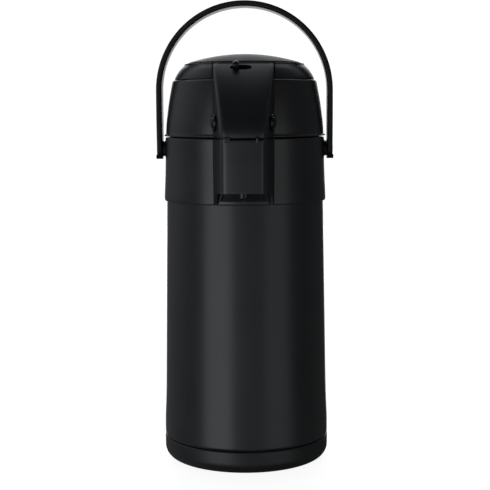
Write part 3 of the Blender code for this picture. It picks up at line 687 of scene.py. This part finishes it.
def make_collar():
    outline = [(76.1, 253.6), (76.25, 253.15), (76.6, 253.0), (77.2, 253.1), (77.65, 253.6), (77.9, 254.4)]
    outline += flowing([(77.95, 255.4), (77.75, 262.0), (77.3, 272.0), (76.95, 281.0), (76.72, 290.0),
                        (76.55, 300.0), (76.5, 306.0), (76.5, 312.6)], 6)
    outline += [(76.4, 313.2), (76.1, 313.6), (75.6, 313.7), (74.3, 313.7), (73.9, 313.3), (73.9, 263.2)]
    outline += [(76.1, 262.6)]
    wall = turned("collar_wall", outline, WIDE)
    notch = box("notch_tool", (-6.4, 6.4), (-82.0, -66.0), (299.6, 320.0))
    carve(wall, [notch, recess_tool()])
    parts = [wall, collar_hood()]
    profile = rounded([(63.0, -4.2), (75.0, -4.2), (75.0, 4.2), (63.0, 4.2)], [2.0, 0.0, 0.0, 2.0])
    for turn in quarters(45.0):
        parts.append(prism("post", profile, 265.0, 291.3, turn))
    for low in (-20.0, 9.0):
        parts.append(knuckle("knuckle", low, low + 11.0, 306.0, SEAM_LOW - 0.3))
    for low, high in LUGS:
        lug = box("lug", (low, high), (-107.35, -105.0), (311.0, 315.7))
        parts.append(soften(lug, 0.35))
    place(join("collar_fine", parts), "vessel", ["collar"], PLASTIC)
    pin = [(0.0, -19.4), (1.1, -19.4), (1.6, -18.9), (1.6, 18.9), (1.1, 19.4), (0.0, 19.4)]
    pin_piece = turned("hinge_pin_fine", pin, SMALL, across(HINGE_Y, HINGE_Z))
    place(pin_piece, "vessel", ["hinge_pin"], SCREW_STEEL)


def knuckle(name, low, high, web_low, web_high):
    """A hinge knuckle: a barrel with soft ends and its web in towards the wall."""
    barrel = [(2.0, low), (3.6, low), (4.2, low + 0.6), (4.2, high - 0.6), (3.6, high), (2.0, high)]
    round_part = turned(name + "_barrel", barrel, SMALL, across(HINGE_Y, HINGE_Z))
    web = box(name + "_web", (low + 0.3, high - 0.3), (74.6, HINGE_Y - 1.0), (web_low, web_high))
    soften(web, 0.5)
    return join(name, [round_part, web])


def slope_frame():
    """Frame on the hood's slope at the lock's slot: local X along the slot, local Z out of the face."""
    low, high = 0.0, 1.0
    for _ in range(40):
        middle = (low + high) / 2.0
        if nose(middle)[0] > SLOT_Y:
            low = middle
        else:
            high = middle
    y, z = nose(low)
    y1, z1 = nose(low + 0.03)
    lean = math.atan2(z - z1, y - y1)
    return Matrix.Translation(Vector((SLOT_X, y, z)) * MM) @ Matrix.Rotation(lean, 4, "X")


def slot_tool():
    lens = []
    for k in range(32):
        turn = 2.0 * math.pi * k / 32
        c, s = math.cos(turn), math.sin(turn)
        x = 10.0 * math.copysign(abs(c) ** 0.85, c)
        lens.append((x, 3.8 * math.copysign(abs(s) ** 0.8, s)))
    return prism("slot_tool", lens, -7.0, 9.0, slope_frame())


def button_frame(side):
    """Frame on a side wall of the hood at the release button: local X out of the wall."""
    y_root = hood_root_y(lid_radius(BUTTON_Z))
    lean = (HOOD_ROOT - HALF_AT_BUTTON) / (y_root - BUTTON_FACE_Y)
    x = HOOD_ROOT - lean * (y_root - BUTTON_Y)
    turn = -math.atan(lean) if side > 0 else math.pi + math.atan(lean)
    return Matrix.Translation(Vector((side * x, BUTTON_Y, BUTTON_Z)) * MM) @ Matrix.Rotation(turn, 4, "Z")


def button_spin(side):
    """Lays a piece that was made about Z along the release button's axis."""
    return button_frame(side) @ Matrix.Rotation(math.radians(90.0), 4, "Y")


def make_lid():
    skirt = [(73.1, 314.9), (76.4, 314.9), (77.0, 315.0), (77.4, 315.4), (77.45, 315.8), (77.3, 316.3)]
    skirt += [(76.8, 316.6), (76.15, 316.8), (75.97, 317.3)]
    skirt += flowing([(75.9, 318.5), (75.75, 321.5), (75.5, 325.5), (74.95, 331.0), (74.2, 337.0),
                      (73.2, 344.5), (72.0, 352.0), (70.8, 358.5), (69.6, 364.6)], 6)
    skirt += [(69.35, 365.9), (68.95, 366.9), (68.35, 367.6), (67.6, 368.0)]
    skirt += [(56.0, 368.0), (56.0, 350.0), (58.4, 350.0), (58.4, 365.5), (66.8, 365.5), (69.6, 352.0)]
    skirt += [(71.8, 337.0), (73.1, 325.5)]
    wall = turned("lid_wall", skirt, WIDE)
    hood = lid_hood()
    bore = [(0.0, -9.0), (7.3, -9.0), (7.3, 12.0), (0.0, 12.0)]
    tools = [slot_tool()]
    latch_rooms = []
    for side, _ in SIDES:
        tools.append(turned("bore_tool", bore, SMALL, button_spin(side)))
        latch_rooms.append(box("latch_room", (-10.5, -4.0), (-4.6, 4.6), (-24.0, 7.0), button_frame(side)))
    for low, high in LUGS:
        tools.append(box("notch_tool", (low - 0.45, high + 0.45), (-115.0, -104.2), (310.0, 316.2)))
    carve(hood, tools, 40.0)
    carve(wall, latch_rooms, 40.0)
    parts = [wall, hood, knuckle("lid_knuckle", -8.4, 8.4, SEAM_HIGH + 0.1, HINGE_Z + 4.0)]
    for turn in quarters(45.0):
        parts.append(box("post", (60.2, 71.6), (-4.0, 4.0), (322.0, 346.0), turn))
    place(join("lid_shell_fine", parts, 40.0), "lid", ["lid_shell"], PLASTIC)


def make_shoulder():
    """The sloping ring round the pad, open in front for the hood, with a small upright lip on top."""
    ring = [(64.4, 368.4), (66.7, 368.4)]
    ring += flowing([(67.0, 368.9), (66.75, 369.8), (66.2, 371.2), (64.3, 374.5), (61.6, 378.2),
                     (58.8, 381.0), (57.7, 382.1)], 6)
    ring += [(57.6, 382.8), (57.35, 383.3), (56.9, 383.6), (55.4, 383.65), (55.05, 383.5)]
    ring += [(PAD_BORE, 383.1), (PAD_BORE, 380.6), (57.8, 379.0), (61.8, 374.2), (64.2, 370.6)]
    shoulder = turned("shoulder_ring_fine", ring, WIDE)
    gap = HOOD_ROOT + 0.2
    carve(shoulder, [box("gap_tool", (-gap, gap), (-90.0, -30.0), (360.0, 395.0))])
    place(shoulder, "lid", ["shoulder_ring"], PLASTIC)


def make_pad():
    dome = []
    under = []
    top, sphere = 392.9, 178.0
    for k in range(22):
        radius = 52.9 * k / 21.0
        z = top - sphere + math.sqrt(sphere ** 2 - radius ** 2)
        dome.append((radius, z))
        if radius < 51.0:
            under.append((radius, z - 2.4))
    edge = [(53.4, 384.6), (53.75, 384.3), (53.95, 383.8), (54.0, 383.2), (54.0, 352.6), (53.6, 352.0)]
    edge += [(52.2, 352.0), (52.0, 352.4), (52.0, 382.0)]
    outline = dome + edge + under[::-1]
    place(turned("push_pad_fine", outline, WIDE), "pad", ["push_pad"], PAD)


def make_pump():
    """The folded bellows and the return spring, between the pad and the pump base."""
    low, high = 323.7, 378.1
    wide, narrow, wall = 43.0, 36.0, 1.6
    folds = [(wide if k % 2 == 0 else narrow, low + (high - low) * k / 8.0) for k in range(9)]
    wave = flowing(folds, 6)
    outline = wave + [(radius - wall, z) for radius, z in wave[::-1]]
    bellows = turned("bellows_fine", outline, 128, None, 50.0)
    place(bellows, "lid", ["bellows"], RUBBER)
    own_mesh(bellows)
    wire, radius, turns = 1.1, 22.0, 5.0
    end, end_climb = 0.12, 2.2
    start_z, rise = 324.9, 47.8
    rolls = [2.0 * math.pi * i / 12 for i in range(12)]
    rings = []
    for k in range(161):
        share = k / 160.0
        turn = 2.0 * math.pi * turns * share
        climb = max(0.0, min(1.0, (share - end) / (1.0 - 2.0 * end)))
        ends = end_climb * min(share, end) / end + end_climb * max(share - (1.0 - end), 0.0) / end
        centre_z = start_z + ends + rise * climb
        out = Vector((math.cos(turn), math.sin(turn), 0.0))
        up = Vector((0.0, 0.0, 1.0))
        rings.append([out * (radius + wire * math.cos(roll)) + up * (centre_z + wire * math.sin(roll))
                      for roll in rolls])
    spring = lofted("return_spring_fine", rings, None, 50.0)
    place(spring, "lid", ["return_spring"], SCREW_STEEL)
    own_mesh(spring)


def make_lock():
    """The lock's knob, a soft-cornered fin, and the plate that it stands on below the slot."""
    transform = slope_frame()
    at = KNOB_X - SLOT_X
    rings = []
    levels = ((-3.4, 2.4, 2.3), (0.2, 2.4, 2.3), (0.55, 2.9, 3.8), (0.9, 3.15, 4.0), (2.5, 3.1, 3.9),
              (4.0, 3.0, 3.7), (5.0, 2.8, 3.3), (5.7, 2.35, 2.7), (6.1, 1.6, 1.9), (6.25, 0.7, 0.9))
    for z, wide, deep in levels:
        ring = []
        for k in range(28):
            turn = 2.0 * math.pi * k / 28
            c, s = math.cos(turn), math.sin(turn)
            x = wide * math.copysign(abs(c) ** 0.55, c)
            ring.append((at + x, deep * math.copysign(abs(s) ** 0.55, s), z))
        rings.append(ring)
    fin = lofted("fin", rings, transform, 60.0)
    plate = box("plate", (at - 10.5, at + 10.5), (-4.4, 4.4), (-4.6, -3.2), transform)
    soften(plate, 0.3)
    place(join("lock_knob_fine", [fin, plate], 60.0), "lock", ["lock_knob"], GLOSS)


def make_buttons():
    ring = [(6.3, -3.6), (6.9, -3.6), (6.9, 0.3)]
    ring += flowing([(8.1, 0.3), (8.15, 1.1), (7.85, 1.75), (7.2, 2.1), (6.7, 1.85), (6.35, 1.2),
                     (6.3, 0.6)], 4)
    cap = [(0.0, -5.3), (7.2, -5.3), (7.2, -4.1), (5.9, -4.1), (5.9, 0.4)]
    cap += flowing([(5.88, 0.8), (5.7, 1.5), (5.25, 2.25), (4.5, 2.9), (3.3, 3.35), (1.7, 3.55),
                    (0.0, 3.6)], 4)
    for side, name in SIDES:
        spin = button_spin(side)
        place(turned(f"button_bezel_{name}_fine", ring, MEDIUM, spin, 50.0), "lid",
              [f"button_bezel_{name}"], GLOSS)
        place(turned(f"release_button_{name}_fine", cap, MEDIUM, spin, 50.0), f"release_{name}",
              [f"release_button_{name}"], GLOSS)


def make_nozzle():
    low = 260.3
    outline = [(3.2, low + 0.3), (3.5, low), (4.2, low), (4.75, low + 0.3), (5.0, low + 0.9), (5.2, 264.0)]
    outline += flowing([(5.3, 265.0), (5.9, 267.5), (6.9, 269.6), (7.4, 271.5)], 4)
    outline += [(7.4, 280.5), (7.0, 281.0), (6.1, 281.0), (6.1, 272.4), (3.2, 270.0)]
    shift = Matrix.Translation(Vector((0.0, SPOUT_Y, 0.0)) * MM)
    place(turned("nozzle_tip_fine", outline, MEDIUM, shift, 50.0), "vessel", ["nozzle_tip"], GLOSS)


def strap_ring(at, out, half, thick, flare):
    """One rounded cross-section of the bail."""
    outer_soft = min(1.2, half * 0.45)
    inner_soft = min(2.2, half * 0.45)
    inner, outer = -thick, thick + flare
    corners = [(inner, -half), (outer, -half), (outer, half), (inner, half)]
    softs = [inner_soft, outer_soft, outer_soft, inner_soft]
    return [at + out * a + Vector((0.0, b, 0.0)) for a, b in rounded(corners, softs, 4)]


def handle_sections():
    """The bail from one round end, up an arm, over the arch and down the other arm."""
    mean, thick, half = 81.8, 2.7, 10.0
    centre, arm_half, grip_half = 358.3, 12.5, 16.0
    foot_z = 297.4
    arm = []
    for k in range(12):
        turn = math.radians(87.0 - 87.0 * k / 11.0)
        arm.append((PIVOT_Z - half * math.sin(turn), half * math.cos(turn)))
    for k in range(1, 9):
        share = k / 8.0
        arm.append((PIVOT_Z + 30.0 * share, half + (arm_half - half) * share * share * (3.0 - 2.0 * share)))
    arm.append((PIVOT_Z + 45.0, arm_half))
    sections = []
    for side, order in ((-1.0, arm), (1.0, arm[::-1])):
        for z, wide in order:
            flare = max(0.0, min(1.0, (foot_z - z) / 0.6))
            at = Vector((side * mean, 0.0, z))
            sections.append(strap_ring(at, Vector((side, 0.0, 0.0)), wide, thick, flare))
        if side < 0:
            for k in range(73):
                turn = math.radians(180.0 - 2.5 * k)
                out = Vector((math.cos(turn), 0.0, math.sin(turn)))
                wide = arm_half + (grip_half - arm_half) * math.sin(turn) ** 2
                sections.append(strap_ring(Vector((0.0, 0.0, centre)) + out * mean, out, wide, thick, 0.0))
    return sections


def make_handle():
    bail = lofted("handle_fine", handle_sections(), None, 40.0)
    seat = [(0.0, 70.0), (3.4, 70.0), (3.4, 81.5), (5.5, 81.5), (5.5, 95.0), (0.0, 95.0)]
    carve(bail, [turned("seat_tool", seat, SMALL, across(0.0, PIVOT_Z, side)) for side, _ in SIDES], 40.0)
    place(bail, "bail", ["handle"], HANDLE)
    cap = [(0.0, 83.5), (5.0, 83.5), (5.0, 84.2), (4.8, 84.6), (4.3, 84.85), (0.0, 85.1)]
    bush = [(3.45, 72.3), (4.95, 72.3), (4.95, 76.6), (8.3, 76.6)]
    bush += flowing([(8.2, 76.8), (7.3, 77.4), (7.05, 77.8), (7.3, 78.2), (8.0, 78.7)], 4)
    bush += [(3.45, 78.7)]
    for side, name in SIDES:
        spin = across(0.0, PIVOT_Z, side)
        place(turned(f"pivot_cap_{name}_fine", cap, MEDIUM, spin, 50.0), "bail", [f"pivot_cap_{name}"], GLOSS)
        place(turned(f"pivot_bushing_{name}_fine", bush, MEDIUM, spin, 50.0), "vessel",
              [f"pivot_bushing_{name}"], PLASTIC)


# ---------------------------------------------------------------- studio

def make_stage():
    """A pale floor that glows for the camera only, and that reflections and shadows leave out."""
    n = Nodes("floor_look")
    cloud = n.noise(400.0, 3.0)
    n.link(n.blend(n.remap(cloud, 0.3, 0.7, 0.0, 1.0), (0.30, 0.30, 0.30), (0.33, 0.33, 0.33)),
           n.shader.inputs["Base Color"])
    n.shader.inputs["Roughness"].default_value = 0.8
    n.shader.inputs["Emission Color"].default_value = (1.0, 1.0, 1.0, 1.0)
    path = n.tree.nodes.new("ShaderNodeLightPath")
    glow = n.math("MULTIPLY", path.outputs["Is Camera Ray"], FLOOR_GLOW)
    n.link(glow, n.shader.inputs["Emission Strength"])
    corners = [(-9000, -6000, -0.2), (9000, -6000, -0.2), (9000, 12000, -0.2), (-9000, 12000, -0.2)]
    floor = mesh_object("floor", corners, [(0, 1, 2, 3)])
    floor.data.materials.append(n.material)
    floor.visible_glossy = False
    floor.visible_shadow = False


def area_light(name, where, aim, size, energy):
    data = bpy.data.lights.new(name, "AREA")
    data.shape = "RECTANGLE"
    data.size, data.size_y = size
    data.energy = energy
    data.color = (0.955, 0.975, 1.0)
    lamp = bpy.data.objects.new(name, data)
    lamp.location = where
    direction = Vector(aim) - Vector(where)
    lamp.rotation_euler = direction.to_track_quat("-Z", "Y").to_euler()
    bpy.context.scene.collection.objects.link(lamp)


def around(degrees, distance, height):
    """A place round the object, where 0 degrees is straight in front and positive is to the right."""
    turn = math.radians(degrees)
    return (distance * math.sin(turn), -distance * math.cos(turn), height)


def make_lights():
    aim = (0.0, 0.0, 0.22)
    area_light("key_left", around(-38.8, 2.4, -0.22), aim, (1.75, 2.2), 14.8)
    area_light("fill_right", around(46.5, 2.6, -0.3), aim, (1.7, 2.4), 6.1)
    area_light("back_soft", around(180.0, 2.4, 0.1), aim, (1.4, 1.9), 12.0)
    make_world()


def make_world():
    """A dim room that is brightest high up behind, and a white backdrop that only the camera sees."""
    world = bpy.data.worlds.new("studio")
    bpy.context.scene.world = world
    world.use_nodes = True
    tree = world.node_tree
    tree.nodes.clear()
    path = tree.nodes.new("ShaderNodeLightPath")
    seen = tree.nodes.new("ShaderNodeBackground")
    seen.inputs["Color"].default_value = (1.0, 1.0, 1.0, 1.0)
    seen.inputs["Strength"].default_value = BACKDROP_GLOW
    coords = tree.nodes.new("ShaderNodeTexCoord")
    total = None
    for facing, low, high, amount in ROOM_LOBES:
        along = tree.nodes.new("ShaderNodeVectorMath")
        along.operation = "DOT_PRODUCT"
        along.inputs[1].default_value = Vector(facing).normalized()
        tree.links.new(coords.outputs["Generated"], along.inputs[0])
        ramp = tree.nodes.new("ShaderNodeMapRange")
        ramp.interpolation_type = "SMOOTHSTEP"
        ramp.inputs["From Min"].default_value = low
        ramp.inputs["From Max"].default_value = high
        ramp.inputs["To Min"].default_value = 0.0
        ramp.inputs["To Max"].default_value = amount
        tree.links.new(along.outputs["Value"], ramp.inputs["Value"])
        add = tree.nodes.new("ShaderNodeMath")
        add.operation = "ADD"
        add.inputs[1].default_value = ROOM_LIGHT
        if total is not None:
            tree.links.new(total, add.inputs[1])
        tree.links.new(ramp.outputs["Result"], add.inputs[0])
        total = add.outputs["Value"]
    room = tree.nodes.new("ShaderNodeBackground")
    room.inputs["Color"].default_value = (0.94, 0.97, 1.0, 1.0)
    tree.links.new(total, room.inputs["Strength"])
    mix = tree.nodes.new("ShaderNodeMixShader")
    tree.links.new(path.outputs["Is Camera Ray"], mix.inputs["Fac"])
    tree.links.new(room.outputs["Background"], mix.inputs[1])
    tree.links.new(seen.outputs["Background"], mix.inputs[2])
    out = tree.nodes.new("ShaderNodeOutputWorld")
    tree.links.new(mix.outputs["Shader"], out.inputs["Surface"])


def make_camera():
    """The camera stands a degree to the right of the hood's centre line, and looks down a little."""
    data = bpy.data.cameras.new("camera")
    data.sensor_width = 36.0
    data.lens = LENS
    camera = bpy.data.objects.new("camera", data)
    turn = Matrix.Rotation(math.radians(CAMERA_YAW), 4, "Z")
    tilt = Matrix.Rotation(math.pi / 2.0 - CAMERA_TILT, 4, "X")
    roll = Matrix.Rotation(CAMERA_ROLL, 4, "Z")
    camera.matrix_world = turn @ Matrix.Translation(Vector(CAMERA_PLACE)) @ tilt @ roll
    bpy.context.scene.collection.objects.link(camera)
    bpy.context.scene.camera = camera


def main():
    dress_cad_nodes()
    make_base()
    make_body()
    make_collar()
    make_lid()
    make_shoulder()
    make_pad()
    make_pump()
    make_lock()
    make_buttons()
    make_nozzle()
    make_handle()
    make_stage()
    make_lights()
    make_camera()
    bpy.context.scene.view_settings.view_transform = "Standard"


main()
